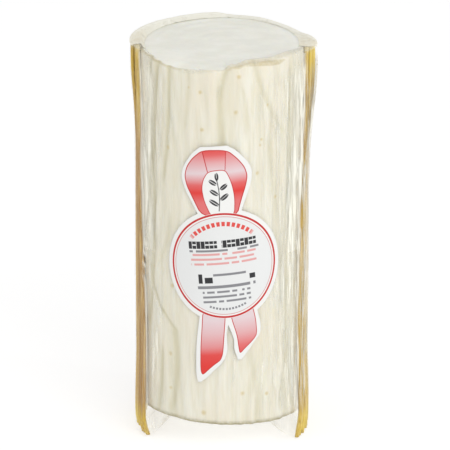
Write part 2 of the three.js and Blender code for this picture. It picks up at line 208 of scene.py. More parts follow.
def closed_faces(rows, columns):
    """Quads between rings of equally many points, and a fan at each end to a point that comes after them."""
    row, column = np.meshgrid(np.arange(rows - 1), np.arange(columns), indexing="ij")
    beside = (column + 1) % columns
    at = row * columns
    quads = np.stack([at + column, at + columns + column, at + columns + beside, at + beside], -1)
    turn = np.arange(columns)
    ahead = (turn + 1) % columns
    last = (rows - 1) * columns
    first_fan = np.stack([turn, ahead, np.full(columns, rows * columns)], -1)
    last_fan = np.stack([last + ahead, last + turn, np.full(columns, rows * columns + 1)], -1)
    return [quads.reshape(-1, 4), first_fan, last_fan]


def make_piece(name, points, faces, material, layers=None):
    """A smooth-shaded object at the origin from points in mm, groups of faces and values for each point."""
    counts = np.concatenate([np.full(len(group), group.shape[1]) for group in faces])
    mesh = bpy.data.meshes.new(name)
    mesh.vertices.add(len(points))
    mesh.vertices.foreach_set("co", (points * MM).astype(np.float32).ravel())
    corners = np.concatenate([group.ravel() for group in faces])
    mesh.loops.add(len(corners))
    mesh.loops.foreach_set("vertex_index", corners.astype(np.int32))
    starts = np.concatenate([[0], np.cumsum(counts)[:-1]])
    mesh.polygons.add(len(counts))
    mesh.polygons.foreach_set("loop_start", starts.astype(np.int32))
    mesh.polygons.foreach_set("use_smooth", np.ones(len(counts), bool))
    mesh.update(calc_edges=True)
    mesh.validate()
    for layer, values in (layers or {}).items():
        held = mesh.attributes.new(layer, "FLOAT", "POINT")
        held.data.foreach_set("value", values.astype(np.float32).ravel())
    mesh.materials.append(material)
    piece = bpy.data.objects.new(name, mesh)
    bpy.context.scene.collection.objects.link(piece)
    return piece


class Value:
    """A socket of a material's nodes. Arithmetic on it adds Math nodes and gives the result's socket."""

    def __init__(self, tree, socket):
        self.tree, self.socket = tree, socket

    def math(self, operation, *others):
        settings = {"operation": operation}
        return self.tree.node("ShaderNodeMath", settings, dict(enumerate([self, *others])))

    def __add__(self, other):
        return self.math("ADD", other)

    def __mul__(self, other):
        return self.math("MULTIPLY", other)

    def __sub__(self, other):
        return self.math("SUBTRACT", other)

    def __rsub__(self, other):
        return (self * -1) + other

    __radd__ = __add__
    __rmul__ = __mul__

    def ease(self, low, high):
        """0 below low, 1 above high and smooth between."""
        inputs = {"Value": self, "From Min": low, "From Max": high}
        return self.tree.node("ShaderNodeMapRange", {"interpolation_type": "SMOOTHSTEP"}, inputs)


class Finish:
    """A material with one Principled shader, and the one method that adds any other node to it."""

    def __init__(self, name, **constants):
        self.material = bpy.data.materials.new(name)
        self.material.use_nodes = True
        self.nodes = self.material.node_tree.nodes
        self.links = self.material.node_tree.links
        self.shader = self.nodes["Principled BSDF"]
        self.set(**constants)

    def set(self, **values):
        """Puts a value or a socket into the shader's inputs, whose names have _ for a space."""
        for name, value in values.items():
            self.put(self.shader.inputs[name.replace("_", " ")], value)

    def put(self, socket, value):
        """Links a value's socket to an input, or sets the input to a number, vector or colour."""
        if isinstance(value, Value):
            self.links.new(value.socket, socket)
        else:
            socket.default_value = value

    def node(self, kind, settings=None, inputs=None, output=0):
        """Adds a node of a type with its settings and inputs, and gives one of its outputs."""
        made = self.nodes.new(kind)
        for name, value in (settings or {}).items():
            setattr(made, name, value)
        for key, value in (inputs or {}).items():
            self.put(made.inputs[key], value)
        return Value(self, made.outputs[output])

    def layer(self, name):
        """A value that the mesh holds for each point."""
        return self.node("ShaderNodeAttribute", {"attribute_name": name}, output="Fac")

    def noise(self, scale, stretch=(1, 1, 1), detail=3.0, shift=0.0, warp=0.0):
        """Noise around 0.5 with clouds of about the scale in mm, stretched along the axes and warped."""
        place_on = self.node("ShaderNodeTexCoord", output="Object")
        sizes = [1000 / (scale * s) for s in stretch]
        inputs = {"Vector": place_on, "Scale": sizes, "Location": (shift, shift, shift)}
        moved = self.node("ShaderNodeMapping", {}, inputs)
        inputs = {"Vector": moved, "Scale": 1.0, "Detail": detail, "Distortion": warp}
        return self.node("ShaderNodeTexNoise", {}, inputs)

    def blend(self, share, first, second):
        """The first colour where the share is 0, the second where it is 1."""
        settings = {"data_type": "RGBA"}
        return self.node("ShaderNodeMix", settings, {0: share, 6: first, 7: second}, output=2)

    def bump(self, height, distance, strength=1.0):
        """A normal bent by a relief whose height from 0 to 1 stands for the distance in mm."""
        inputs = {"Height": height, "Distance": distance * MM, "Strength": strength}
        return self.node("ShaderNodeBump", {}, inputs, output="Normal")


def ink(red, green, blue):
    """A colour as a screen shows it, from 0 to 255, turned into the linear values that a shader takes."""
    c = np.array([red, green, blue]) / 255
    linear = np.where(c < 0.04045, c / 12.92, ((c + 0.055) / 1.055) ** 2.4)
    return (*linear.tolist(), 1.0)


# Rings of the log's surface from the middle of the base, round the lower rim, up the wall, round the upper
# rim and in to the middle of the top.
CHEESE_COLUMNS = 340
FACE_RINGS = 30
RIM_RINGS = 5
WALL_RINGS = 220
FACE_RELIEF = 0.07
angles = np.linspace(-180, 180, CHEESE_COLUMNS, endpoint=False)[None, :]
low_edge = base_height(angles, CHEESE_RADIUS)
rim_rises = rim_rise(angles)
high_edge = top_height(angles, CHEESE_RADIUS, rim_rises)
face_shares = (1 - (1 - np.linspace(0.1, 0.94, FACE_RINGS)) ** 1.5)[:, None]
top_face = face_shares * (rind_radius(angles, high_edge) - RIM_ROUND)
base_face = face_shares * (rind_radius(angles, low_edge) - RIM_ROUND)
turns = np.radians(np.linspace(8, 82, RIM_RINGS))[:, None]
inset, away = RIM_ROUND * (1 - np.sin(turns)), RIM_ROUND * (1 - np.cos(turns))
wall_shares = 1 - (1 - np.linspace(0, 1, WALL_RINGS)[:, None]) ** 1.5
wall_heights = mix(low_edge + RIM_ROUND, high_edge - RIM_ROUND, wall_shares)
face_relief = FACE_RELIEF * ripples(angles, face_shares * 160, 21, 8, (1, 5), 30)
cheese_rings = [
    place(angles, base_face, base_height(angles, base_face) + 0.5 * face_relief),
    place(angles, rind_radius(angles, low_edge) - inset, low_edge + away),
    place(angles, rind_radius(angles, wall_heights), wall_heights),
    place(angles, (rind_radius(angles, high_edge) - inset)[::-1], (high_edge - away)[::-1]),
    place(angles, top_face[::-1], (top_height(angles, top_face, rim_rises) + face_relief)[::-1]),
]
cheese_points = np.concatenate(cheese_rings)
poles = np.array([[0, 0, CHEESE_LIFT], [0, 0, TOP_HEIGHT]]) + AXIS
rows = len(cheese_points)

# The tan band below the lip: angle and height along its lower and its upper edge.
BAND_LOW = [
    (2.5, 197.0), (3.8, 197.9), (6.6, 198.3), (8.0, 198.9), (13.0, 199.0), (16.3, 200.1), (24.4, 199.6),
    (35.7, 198.7), (44.4, 198.1), (50.4, 199.1),
]
BAND_HIGH = [
    (2.5, 197.4), (4.4, 200.3), (8.0, 200.5), (13.0, 200.6), (16.3, 201.2), (24.4, 202.1), (35.7, 201.2),
    (44.8, 200.4), (50.0, 199.9),
]

# For each point: how deep it lies in a hollow, how tan the rim is there, whether it is on the upper face,
# and whether it is in a fold. The depth in a hollow and the fold both set painted shade in the rind's
# colour.
first_wall_row = FACE_RINGS + RIM_RINGS
# How deep each wall point lies in a hollow, which sets the painted shade there.
depth = np.zeros((rows, CHEESE_COLUMNS))
depth[first_wall_row:-first_wall_row] = CHEESE_RADIUS + RIND_PROUD - rind_radius(angles, wall_heights)
heights = cheese_points[..., 2]
radii = np.hypot(cheese_points[..., 0] - AXIS[0], cheese_points[..., 1] - AXIS[1])
upper_edge = rind_radius(angles, high_edge) - RIM_INSET
lower_edge = rind_radius(angles, low_edge) - RIM_INSET
from_top = np.hypot(high_edge - RIM_INSET - heights, upper_edge - radii)
from_base = np.hypot(heights - low_edge - RIM_INSET, lower_edge - radii)
above_low = ease(heights - straight_through(BAND_LOW, angles), -0.4, 0.4)
above_high = ease(heights - straight_through(BAND_HIGH, angles), -0.4, 0.4)
lip_band = above_low * (1 - above_high) * mix(0.45, 0.6, ease(angles, 20, 28))
lip_band = lip_band * ease(radii, 38.0, 38.8) * ease(angles, 1, 3) * (1 - ease(angles, 49, 52))
left_line = hump(from_top, 0.1, 0.55) * ease(angles, -96, -84)
left_line = left_line * (0.35 * (1 - ease(angles, -60, -42)) + 0.3 * (1 - ease(angles, -30, -14)))
back_line = 0.5 * hump(from_top, 0, 1.0) * hump(np.abs(angles), 168, 20)
tan_top = np.clip(lip_band + left_line + back_line, 0, 1)
# A thin dark olive line along the lower rim.
tan_base = hump(from_base, 0, 1.5)
face_edge = mix(upper_edge - 0.8, LIP_RADIUS - 0.2, ease(rim_rises, 0.1, 0.8))
on_face = ease(face_edge - radii, -0.5, 0.4) * (heights > TOP_HEIGHT / 2)
# How far each point lies in a fold, which sets the painted shade there.
fold_shade_mask = np.clip(creases(FOLDS, angles, heights) / 0.5, 0, 1) * (radii > LIP_RADIUS)


def with_poles(layer):
    """A layer's values ring by ring, then its first and last ring's mean for the two poles."""
    return np.concatenate([layer.ravel(), [layer[0].mean(), layer[-1].mean()]])


rind = Finish("white_rind", Roughness=0.5, Coat_Weight=0.25, Coat_Roughness=0.16)
rind.set(Subsurface_Weight=0.2, Subsurface_Scale=0.004, Subsurface_Radius=(1.0, 0.8, 0.5))
streaks = rind.noise(4.5, (1, 1, 6), 2.0, warp=0.6)
clouds = rind.noise(15, (1, 1, 2.2), 2.0, 3.0)
pores = rind.noise(1.1, (1, 1, 1.6), 2.0, 7.0)
ribs = rind.noise(1.3, (1, 1, 14), 1.0, 11.0)
mottling = rind.noise(9, (1.6, 1, 1), 3.0, 5.0)
bloom_and_shade = rind.blend(streaks.ease(0.32, 0.68), ink(226, 221, 203), ink(231, 228, 214))
bloom_and_shade = rind.blend(ribs.ease(0.48, 0.66) * 0.35, bloom_and_shade, ink(216, 210, 186))
bloom_and_shade = rind.blend(clouds.ease(0.45, 0.7) * 0.5, bloom_and_shade, ink(228, 219, 199))
# Painted shade: the rind turns darker and greyer the deeper it lies in a hollow, and darker still in the
# folds.
bloom_and_shade = rind.blend(rind.layer("hollow_shade").ease(0.35, 1.25) * 0.4, bloom_and_shade, ink(214, 209, 182))
bloom_and_shade = rind.blend(rind.layer("fold_shade") * 0.75, bloom_and_shade, ink(202, 195, 164))
end_face = rind.blend(mottling.ease(0.35, 0.7), ink(244, 243, 232), ink(251, 250, 240))
colour = rind.blend(rind.layer("face"), bloom_and_shade, end_face)

# Tan specks of mould: angle, height and size of each.
SPECKS = [
    (-15, 187, 1.2), (12, 195, 1.3), (10, 177, 1.3), (-14, 168, 1.2), (-42, 156, 1.3), (29, 162, 0.8),
    (28, 159, 0.8), (26, 145, 1.2), (34, 179, 0.9), (41, 131, 1.1), (-24, 189, 0.6), (-38, 85, 1.4),
    (-40, 49, 1.4), (-57, 92, 1.1), (15, 31, 1.3), (34, 29, 1.2), (-13, 21, 1.5), (-40, 31, 1.0),
    (150, 120, 1.1), (-140, 60, 1.0),
]
round_the_log, up_the_log = rind.layer("around"), rind.layer("up")
specks = None
for speck_angle, speck_height, size in SPECKS:
    aside = (round_the_log - speck_angle) * np.radians(CHEESE_RADIUS)
    above = up_the_log - speck_height
    from_speck = (aside * aside + above * above).math("SQRT") + (pores - 0.5) * 0.8
    speck = from_speck.ease(size * 1.3, size * 0.1)
    specks = speck if specks is None else specks.math("MAXIMUM", speck)
colour = rind.blend(specks * 0.7, colour, ink(204, 184, 128))
tan_share = rind.layer("tan_rim") * (pores.ease(0.3, 0.6) * 0.4 + 0.6)
colour = rind.blend(tan_share, colour, ink(184, 166, 110))
brown_share = rind.layer("brown_rim") * (pores.ease(0.35, 0.6) * 0.3 + 0.7)
colour = rind.blend(brown_share, colour, ink(140, 130, 86))
relief = streaks * 0.7 + pores * 0.12 + clouds * 0.9 + ribs * 0.3
rind.set(Base_Color=colour, Normal=rind.bump(relief, 0.5, 0.6))

cheese_layers = {
    "hollow_shade": with_poles(depth),
    "fold_shade": with_poles(fold_shade_mask),
    "face": with_poles(on_face),
    "tan_rim": with_poles(tan_top),
    "brown_rim": with_poles(tan_base),
    "around": with_poles(np.broadcast_to(angles, heights.shape)),
    "up": with_poles(heights),
}
cheese = make_piece(
    "cheese_wall",
    np.vstack([cheese_points.reshape(-1, 3), poles]),
    [group[:, ::-1] for group in closed_faces(rows, CHEESE_COLUMNS)],
    rind.material,
    cheese_layers,
)
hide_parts("cheese_log")
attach(cheese, "root")

# The straw mat: sixty rye straws laid side by side round the back and sides of the log, which keep it from
# sticking and let it breathe. They are cut a little longer than the log at its foot, where they end free.
STRAW_COUNT = 60
STRAW_RADIUS = 1.1
STRAW_SPREAD = 0.15
MAT_INNER = CHEESE_RADIUS + RIND_PROUD + 0.27
MAT_CROWDING = 1.5
TIP_SPREAD = 2.6
TIP_HEIGHT = 9
TIP_TUCK = 2.4
TIP_LEAN = 5
TUCKED_STRAWS = 8
LEANING_STRAWS = 6
FOOT_STRAWS = 3
LEAST_TUCK = 0.1
TOP_SPREAD = 0.8
FOOT_SPREAD = 0.7
FLAP_LIFT = 2.8
STRAWS_UNDER_FLAP = 0.85
TIGHT_STRAWS = 2

# The edge of the film over the straw heads: angle, and height above the plane of the upper face.
BRIM = [
    (76, -0.6), (92, 0.3), (104, 0.1), (118, -1.4), (137, -1.0), (154, -0.1), (174, -0.1), (184, 1.2),
    (215, 0.9), (235, 1.5), (262, 2.2), (284, 2.4),
]


def draw(index, use):
    """A repeatable draw from -1 to 1 for each straw and use: the fraction of a large multiple of a sine."""
    wave = np.sin(index * 127.1 + use * 311.7) * 43758.5453
    return 2 * (wave - np.floor(wave)) - 1


def crowding(height):
    """How far every other straw is pushed out near the top."""
    return MAT_CROWDING * ease(height, 0.7 * TOP_HEIGHT, 0.97 * TOP_HEIGHT)


def upper_spread(angle, height):
    """How far the mat stands further out at the upper left."""
    return TOP_SPREAD * ease(height, 165, 195) * hump(angle, 270, 25)


def foot_spread(height):
    """How far the mat stands further out near the table."""
    return FOOT_SPREAD * (1 - ease(height, 12, 45))


def brim(angle):
    """How far the film over the straw heads stands above the plane of the upper face."""
    return straight_through(BRIM, np.mod(angle, 360))


def flap_lift(angle, height):
    """How far the film and the straws under it stand off at the upper right."""
    return FLAP_LIFT * hump(angle, 92, 16) * hump(height / TOP_HEIGHT, 0.94, 0.17)


def lean(height):
    """How far the free tips at the right edge lean to the front, in degrees."""
    return TIP_LEAN * (1 - ease(height, 0, CHEESE_LIFT))


def straw_line(index, height):
    """The middle of each straw: evenly pitched angles between the mat's two edges, swaying by a slow sine,
    at the mat's inner radius plus the straw's own radius and its push outwards, less the tuck of its tip.
    The film holds the outermost straws at both edges tight, so only those further in are pushed out."""
    edge = right_edge(height)
    to_last = STRAW_COUNT - 1 - index
    pitch = (360 - edge - left_edge(height)) / (STRAW_COUNT - 1)
    sway = 0.15 * np.sin(height / 23 + np.pi * draw(index, 5))
    forward = lean(height) * np.maximum(0, 1 - index / LEANING_STRAWS)
    radius = STRAW_RADIUS * (1 + STRAW_SPREAD / 2 * draw(index, 1))
    at = edge + index * pitch
    pushed = np.where(index % 2 == 1, crowding(height) * (0.75 + 0.25 * draw(index, 2)), 0)
    pushed = pushed + STRAWS_UNDER_FLAP * flap_lift(at, height) + upper_spread(at, height)
    pushed = pushed * ease(np.minimum(index, to_last), 0, TIGHT_STRAWS) + foot_spread(height)
    tuck = TIP_TUCK * np.maximum(LEAST_TUCK, 1 - to_last / TUCKED_STRAWS) * (1 - ease(height, 0, TIP_HEIGHT))
    return edge + (index + sway) * pitch - forward, MAT_INNER + radius + pushed - tuck, radius, pitch


STRAW_SIDES = 12
STRAW_RINGS = 46
straw = np.arange(STRAW_COUNT)[:, None]
from_edge = np.minimum(straw, STRAW_COUNT - 1 - straw)
foot = 0.6 + np.where(from_edge < FOOT_STRAWS, 0, TIP_SPREAD / 2 * (1 + draw(straw, 3)))
head_angle = straw_line(straw, TOP_HEIGHT)[0]
head = top_height(head_angle, CHEESE_RADIUS, 0) + brim(head_angle) - 0.45 - 0.3 * draw(straw, 4)

# Along a straw: up the hollow at its foot, over the cut edge, up the outside, over the upper cut edge and
# down the hollow at its head.
hollow_depth = np.array([3.0, 1.5, 0.15])
shares = np.concatenate([np.zeros(4), np.linspace(0, 1, STRAW_RINGS), np.ones(4)])
offsets = np.concatenate([hollow_depth, [0], np.zeros(STRAW_RINGS), [0], -hollow_depth[::-1]])
bore = np.array([0.55, 0.58, 0.62, 0.8])
widths = np.concatenate([bore, np.ones(STRAW_RINGS), bore[::-1]])
straw_heights = mix(foot, head, shares[None, :]) + offsets[None, :]
middle_angle, middle_radius, straw_radius, pitch = straw_line(straw, straw_heights)

# The joints of each stalk are slight swellings with a darker ring. Each stalk has two, and the two stalks
# at the right edge have more: number, height and width.
JOINT_WIDTH = 1.6
JOINT_SPACING = 120
MORE_JOINTS = [(0, 174, 1.6), (1, 163, 2.4), (0, 154, 2.2), (0, 135, 3.0), (1, 128, 1.5)]
joint_heights = 60 + 65 * draw(straw, 6) + np.array([0, JOINT_SPACING])
joint = hump(straw_heights[..., None], joint_heights[:, None], JOINT_WIDTH).max(-1)
for number, joint_height, joint_width in MORE_JOINTS:
    joint[number] = np.maximum(joint[number], hump(straw_heights[number], joint_height, joint_width))

# Each straw is a little flattened, and no wider than its share of the round.
room = 0.49 * np.radians(pitch) * middle_radius
across_radius = np.minimum(straw_radius * (1 + 0.07 * joint), room) * widths
out_radius = straw_radius * (1 + 0.06 * joint) * widths * (1 - 0.12 * np.abs(draw(straw, 7)))
side = np.radians(np.arange(STRAW_SIDES) * 360 / STRAW_SIDES)
along_round = across_radius[..., None] * np.cos(side)
outwards = out_radius[..., None] * np.sin(side)
straw_points = place(
    middle_angle[..., None] + np.degrees(along_round / middle_radius[..., None]),
    middle_radius[..., None] + outwards,
    straw_heights[..., None],
)
straw_rows = straw_points.shape[1]
foot_pole = straw_points[:, :1].mean(2)
head_pole = straw_points[:, -1:].mean(2)
per_straw = np.concatenate([straw_points.reshape(STRAW_COUNT, -1, 3), foot_pole, head_pole], 1)
one_straw = closed_faces(straw_rows, STRAW_SIDES)
stride = straw_rows * STRAW_SIDES + 2
straw_faces = [
    (group[None] + stride * np.arange(STRAW_COUNT)[:, None, None]).reshape(-1, group.shape[1])
    for group in one_straw
]


def per_point(values):
    """A value for each straw's ring, repeated round the ring and for the straw's two poles."""
    values = np.broadcast_to(values, (STRAW_COUNT, straw_rows))
    ringed = np.repeat(values, STRAW_SIDES, 1)
    return np.concatenate([ringed, values[:, :1], values[:, -1:]], 1)


stalk = Finish("rye_straw", Roughness=0.42, Coat_Weight=0.15, Coat_Roughness=0.25)
tone = stalk.layer("tone")
fibres = stalk.noise(0.7, (1, 1, 60), 3.0)
stains = stalk.noise(5, (1, 1, 5), 3.0, 2.0)
dry = stalk.layer("dry")
golden = stalk.blend(tone, ink(202, 167, 40), ink(232, 207, 76))
damp = stalk.blend(tone, ink(172, 130, 62), ink(216, 178, 98))
straw_colour = stalk.blend(dry, damp, golden)
straw_colour = stalk.blend(fibres.ease(0.5, 0.66) * 0.5, straw_colour, ink(232, 207, 132))
straw_colour = stalk.blend(fibres.ease(0.48, 0.36) * 0.5, straw_colour, ink(158, 116, 56))
straw_colour = stalk.blend(stains.ease(0.58, 0.75) * 0.4, straw_colour, ink(150, 112, 60))
straw_colour = stalk.blend(stalk.layer("joint") * 0.5, straw_colour, ink(140, 104, 54))
# Painted shade: the hollow inside each cut end of a straw is darker.
straw_colour = stalk.blend(stalk.layer("bore") * 0.5, straw_colour, ink(128, 96, 46))
straw_colour = stalk.blend(stalk.layer("head") * 0.8, straw_colour, ink(232, 222, 180))
stalk.set(Base_Color=straw_colour, Normal=stalk.bump(fibres, 0.08, 0.6))

# Where the painted shade inside each hollow end lies, ring by ring along a straw.
bore_shade = np.concatenate([[1, 0.7, 0.15, 0], np.zeros(STRAW_RINGS), [0, 0.15, 0.7, 1]])
on_right = straw < STRAW_COUNT / 2
golden_from = np.where(on_right, 176, 150)
dryness = np.maximum(1 - ease(straw_heights, 11, 17), ease(straw_heights, golden_from, 188))
dryness = np.maximum(dryness, np.where(on_right, 0.6, 0.0))
straws = make_piece(
    "straws",
    per_straw.reshape(-1, 3),
    [group[:, ::-1] for group in straw_faces],
    stalk.material,
    {
        "tone": per_point(0.5 + 0.5 * draw(straw, 8)),
        "joint": per_point(joint),
        "bore": per_point(bore_shade[None, :]),
        "dry": per_point(dryness),
        "head": per_point(ease(straw_heights - head, -1.3, -0.4)),
    },
)
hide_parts("straw_mat")
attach(straws, "root")

# The film: one sheet of clear cling film drawn tight over the top, round the log and its straws and under
# the straw ends, then gathered under the base. It bridges the gap from the mat's edges to the cheese, and
# its upright creases catch the light.
FILM_ON_CHEESE = CHEESE_RADIUS + RIND_PROUD + 0.14
FILM_ON_MAT = MAT_INNER + 2 * STRAW_RADIUS * (1 + STRAW_SPREAD / 2) + 0.12
FILM_ABOVE = 0.25
FILM_PAST_MAT = 1.2
HEADS_FROM = 37.9
ROOF_RINGS, BEND_RINGS, WALL_FILM_RINGS, WEB_RINGS, UNDER_RINGS = 14, 8, 194, 6, 14
WALL_TOP, WALL_FOOT = 198, 17
FOOT_INNER = 37.4
TURN_RADIUS = 35
WEB_TOP = 31
PLEATS = 18
PLEAT_DEPTH = 1.6
FRONT_COLUMNS, BRIDGE_COLUMNS, MAT_COLUMNS = 150, 16, 190


def film_on_mat(angle, height):
    """The film's radius over the straws: further out where they crowd, and where it stands off at the
    upper right."""
    lift = flap_lift(angle, height) + upper_spread(angle, height)
    return FILM_ON_MAT + crowding(height) + lift + foot_spread(height)


def film_at(column, height):
    """Angle, radius and share of the mat at each height and column: arcs on the cheese and on the mat, and
    between them a straight line that leaves the cheese as a tangent."""
    right = right_edge(height) - FILM_PAST_MAT - lean(height)
    left = 360 - left_edge(height) + FILM_PAST_MAT
    touch_right = right - np.degrees(np.arccos(FILM_ON_CHEESE / film_on_mat(right, height)))
    touch_left = left + np.degrees(np.arccos(FILM_ON_CHEESE / film_on_mat(left, height)))
    zero = np.zeros_like(right)
    corners = np.stack([zero, touch_right, right, left, touch_left, zero + 360], -1)
    counts = [FRONT_COLUMNS // 2, BRIDGE_COLUMNS, MAT_COLUMNS, BRIDGE_COLUMNS, FRONT_COLUMNS // 2]
    starts = np.concatenate([[0], np.cumsum(counts)])
    part = np.clip(np.searchsorted(starts, column, side="right") - 1, 0, len(counts) - 1)
    share = (column - starts[part]) / np.array(counts)[part]
    where = np.broadcast_to(part, corners[..., 0].shape)[..., None]
    start = np.take_along_axis(corners, where, -1)[..., 0]
    end = np.take_along_axis(corners, where + 1, -1)[..., 0]
    angle = mix(start, end, share)
    touch = np.where(part == 1, touch_right, touch_left)
    bridge = FILM_ON_CHEESE / np.cos(np.radians(angle - touch))
    on_bridge = (part == 1) | (part == 3)
    radius = np.select([part == 2, on_bridge], [film_on_mat(angle, height), bridge], FILM_ON_CHEESE)
    on_mat = np.select([part == 2, part == 1, part == 3], [1.0, share, 1 - share], 0.0)
    return angle, radius, on_mat


def signed(angle):
    """The same angle, counted to the left as less than 0."""
    return np.where(angle > 180, angle - 360, angle)


def roof(angle, radius):
    """The film's height over the upper face."""
    return top_height(angle, radius, rim_rise(signed(angle))) + FILM_ABOVE


def under(angle, radius):
    """The film's height under the lower face."""
    return base_height(angle, radius) - FILM_ABOVE


column = np.arange(FRONT_COLUMNS + 2 * BRIDGE_COLUMNS + MAT_COLUMNS)
one_height = np.ones(len(column))
rings = []

# Over the upper face and the rim, where the film rises to its edge over the straw heads. The rim's rings
# are listed with their radius over the cheese and over the straws, and the share of that rise. The bend over
# the edge reaches this far in and down, and the wall starts this far down, at the cheese and at the straws.
RIM_FILM = [(37.7, HEADS_FROM, 0), (37.8, HEADS_FROM + 0.1, 0), (37.9, 38.9, 0), (38.2, 40.4, 1)]
BEND_IN, BEND_DOWN, WALL_DOWN = (1.9, 1.2), (1.9, 0.5), (2.2, 0.8)
angle, outer, on_mat = film_at(column, TOP_HEIGHT * one_height)
for share in np.linspace(0.03, 0.93, ROOF_RINGS):
    radius = share * CHEESE_RADIUS * one_height
    rings.append((angle, radius, roof(angle, radius), on_mat))
for on_cheese, on_straws, raised in RIM_FILM:
    radius = mix(on_cheese, on_straws, on_mat)
    rings.append((angle, radius, roof(angle, radius) + raised * on_mat * brim(angle), on_mat))
crown = roof(angle, CHEESE_RADIUS) + on_mat * brim(angle)
for bend in np.radians(np.linspace(6, 84, BEND_RINGS)):
    radius = mix(outer - mix(*BEND_IN, on_mat), outer, np.sin(bend))
    rings.append((angle, radius, crown - mix(*BEND_DOWN, on_mat) * (1 - np.cos(bend)), on_mat))

# Down the wall to where the straw ends begin.
for share in np.linspace(0, 1, WALL_FILM_RINGS):
    angle, outer, on_mat = film_at(column, mix(WALL_TOP, WALL_FOOT, share) * one_height)
    crown = roof(angle, CHEESE_RADIUS) + on_mat * brim(angle)
    rings.append((angle, outer, mix(crown - mix(*WALL_DOWN, on_mat), WALL_FOOT, share), on_mat))

# Round the lower rim, and over the straw ends down to the table. The rings are listed with the level that
# their angles are taken at, how far they lie in from the wall at the cheese and at the straws, and how far
# they lie above the lower face and above the table.
FOOT_FILM = [(5, 0, 0, 1.6, 5.0), (0, 0, 0, 0.8, 1.4), (0, 0.8, 0.5, 0.1, 0.35), (0, 1.7, 1.4, 0, 0.1)]
for level, cheese_in, straws_in, above_face, above_table in FOOT_FILM:
    angle, outer, on_mat = film_at(column, level * one_height)
    height = mix(under(angle, CHEESE_RADIUS) + above_face, above_table, on_mat)
    rings.append((angle, outer - mix(cheese_in, straws_in, on_mat), height, on_mat))
for on_cheese, on_straws, above_table in [(36.5, FOOT_INNER + 1.2, 0.1), (TURN_RADIUS, FOOT_INNER, 0.5)]:
    height = mix(under(angle, on_cheese), above_table, on_mat)
    rings.append((angle, mix(on_cheese, on_straws, on_mat), height, on_mat))

# From the straws' inner side up to the cheese, and in to the gathered end.
turn_radius, turn_height = rings[-1][1:3]
for share in np.linspace(0.15, 1, WEB_RINGS):
    height = mix(turn_height, under(angle, WEB_TOP), share)
    rings.append((angle, mix(turn_radius, WEB_TOP, share), height, on_mat))
for radius in np.linspace(27, 2, UNDER_RINGS):
    rings.append((angle, radius * one_height, under(angle, radius), on_mat))
film_angle, film_radius, film_height, film_share = np.stack(rings, 1)
film_around = signed(film_angle)

# Creases: fine and upright at the right, longer and fewer at the left, puckers over the straw heads, and
# pleats towards the gathered end.
on_wall = ease(film_height, 12, 24) * (1 - ease(film_height, 188, 196)) * (film_radius > 38)
right_side = hump(film_around, 52, 24)
left_side = hump(film_around, -62, 18)
under_label = hump(film_around, LABEL_ANGLE, 34) * hump(film_height, LABEL_HEIGHT, 58)
fine_creases = np.maximum(ripples(film_around, film_height, 31, 10, (60, 110), 6, 1.5), 0) ** 1.5
long_creases = np.maximum(ripples(film_around, film_height, 32, 9, (30, 62), 5, 3.0), 0) ** 2
film_ridges = on_wall * (1 - under_label) * (
    (0.05 + 0.16 * right_side + 0.1 * film_share) * fine_creases + (0.02 + 0.16 * left_side) * long_creases
)
film_radius = film_radius + film_ridges
near_rim = hump(film_radius, 40.5, 4) * (film_height > 150)
pucker = np.maximum(ripples(film_around, 0.0, 33, 12, (24, 64), 1), 0)
film_height = film_height + 0.12 * near_rim * pucker * (0.2 + 0.8 * film_share)
gathered = (film_height < 30) * ease(film_radius, 30, 6)
pleats = 0.5 + 0.5 * np.cos(np.radians(film_around) * PLEATS)
film_height = film_height - PLEAT_DEPTH * gathered * pleats * ease(film_radius, 1, 9)

# For each point: how streaky the film is, and how milky. The streaks are the film's own haze in its creases
# together with painted reflections. It is whitish from its own haze and painted reflection where it stands
# free between the straws and the cheese and over the straw heads; painted light covers the dark crevice
# beside the outermost straws, painted glints sit on the front rim, and painted highlights run along single
# creases. Those creases are listed as the folds are: start, end, bow, width and strength.
GLEAMS = [
    ((-48, 73), (-49, 65), 0, 0.7, 0.5), ((-52, 58), (-52, 49), 0, 0.6, 0.6),
    ((-55, 49), (-56, 36), 0, 0.6, 0.6), ((9, 50), (8, 38), 0, 0.5, 0.5),
    ((30, 46), (29, 34), 0, 0.6, 0.45), ((-59, 90), (-46, 68), -3, 0.6, 0.3),
    ((3.5, 200), (-3, 186), 0, 0.6, 0.3), ((20, 200), (44, 163), -3, 0.7, 0.1),
    ((-58, 200), (-61, 150), 1, 0.8, 0.4), ((-46, 196), (-50, 150), 1, 0.7, 0.4),
    ((-36, 190), (-40, 160), 1, 0.7, 0.25), ((-66, 150), (-64, 100), 1, 0.8, 0.35),
    ((48, 196), (54, 140), 2, 0.8, 0.3), ((38, 190), (42, 150), 1, 0.7, 0.2),
    ((60, 150), (56, 80), 2, 0.8, 0.2), ((50, 110), (48, 60), -2, 0.8, 0.3),
    ((44, 70), (46, 25), 1, 0.7, 0.25), ((66, 190), (70, 120), 2, 0.9, 0.2),
]
# Painted highlights along the listed creases.
gleam = creases(GLEAMS, film_around, film_height)
bridging = (film_share > 0) * (film_share < 1)
free = hump(film_share, 0.36, 0.24) * bridging
below_rim = roof(film_angle, CHEESE_RADIUS) + film_share * brim(film_angle) - film_height
